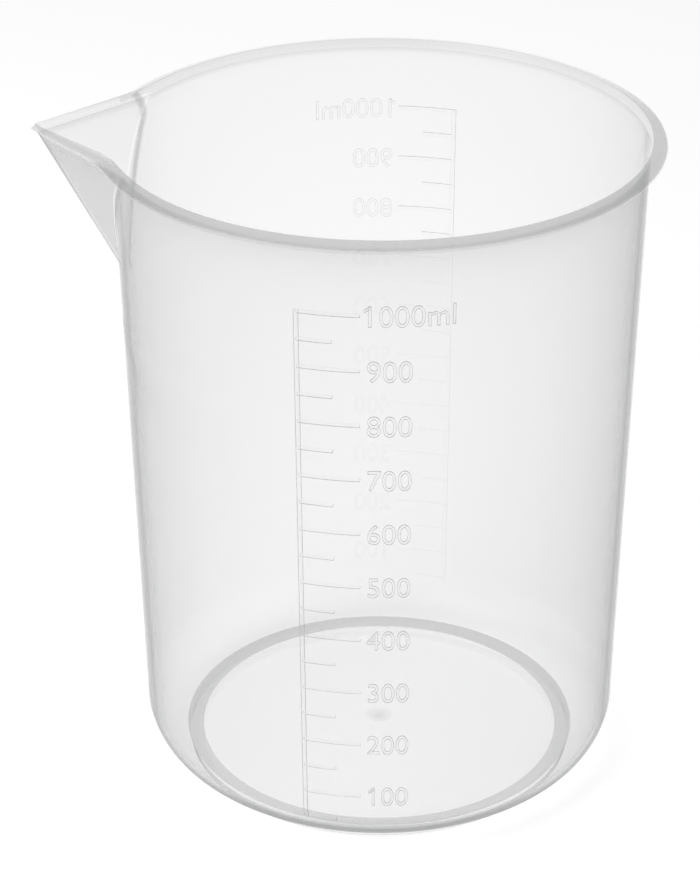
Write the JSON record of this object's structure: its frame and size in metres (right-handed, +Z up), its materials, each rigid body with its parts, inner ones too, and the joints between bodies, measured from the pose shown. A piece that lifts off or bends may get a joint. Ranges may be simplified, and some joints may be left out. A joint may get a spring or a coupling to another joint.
{
  "type": "measuring cup",
  "caption": "Tall round measuring cup of milky translucent plastic with a turned-out rim, a V-shaped pouring spout, a foot ring and raised volume scales.",
  "frame": {"origin": "on the table, under the middle of the cup's box, so the cup's own axis stands 6.6 mm from it toward +X", "axes": "+Z up along the cup's axis; the spout points to -X; the scales face -Y and +Y"},
  "size_m": [0.1282, 0.115, 0.1422],
  "materials": {
    "milky_plastic": "translucent natural polypropylene, satin gloss, as moulded"
  },
  "bodies": {
    "root": {"cup_wall": "milky_plastic", "cup_base": "milky_plastic", "foot_ring": "milky_plastic", "gate_mark": "milky_plastic", "rim_lip": "milky_plastic", "pouring_spout": "milky_plastic", "spout_lip": "milky_plastic", "front_scale": "milky_plastic", "back_scale": "milky_plastic"}
  },
  "joints": []
}
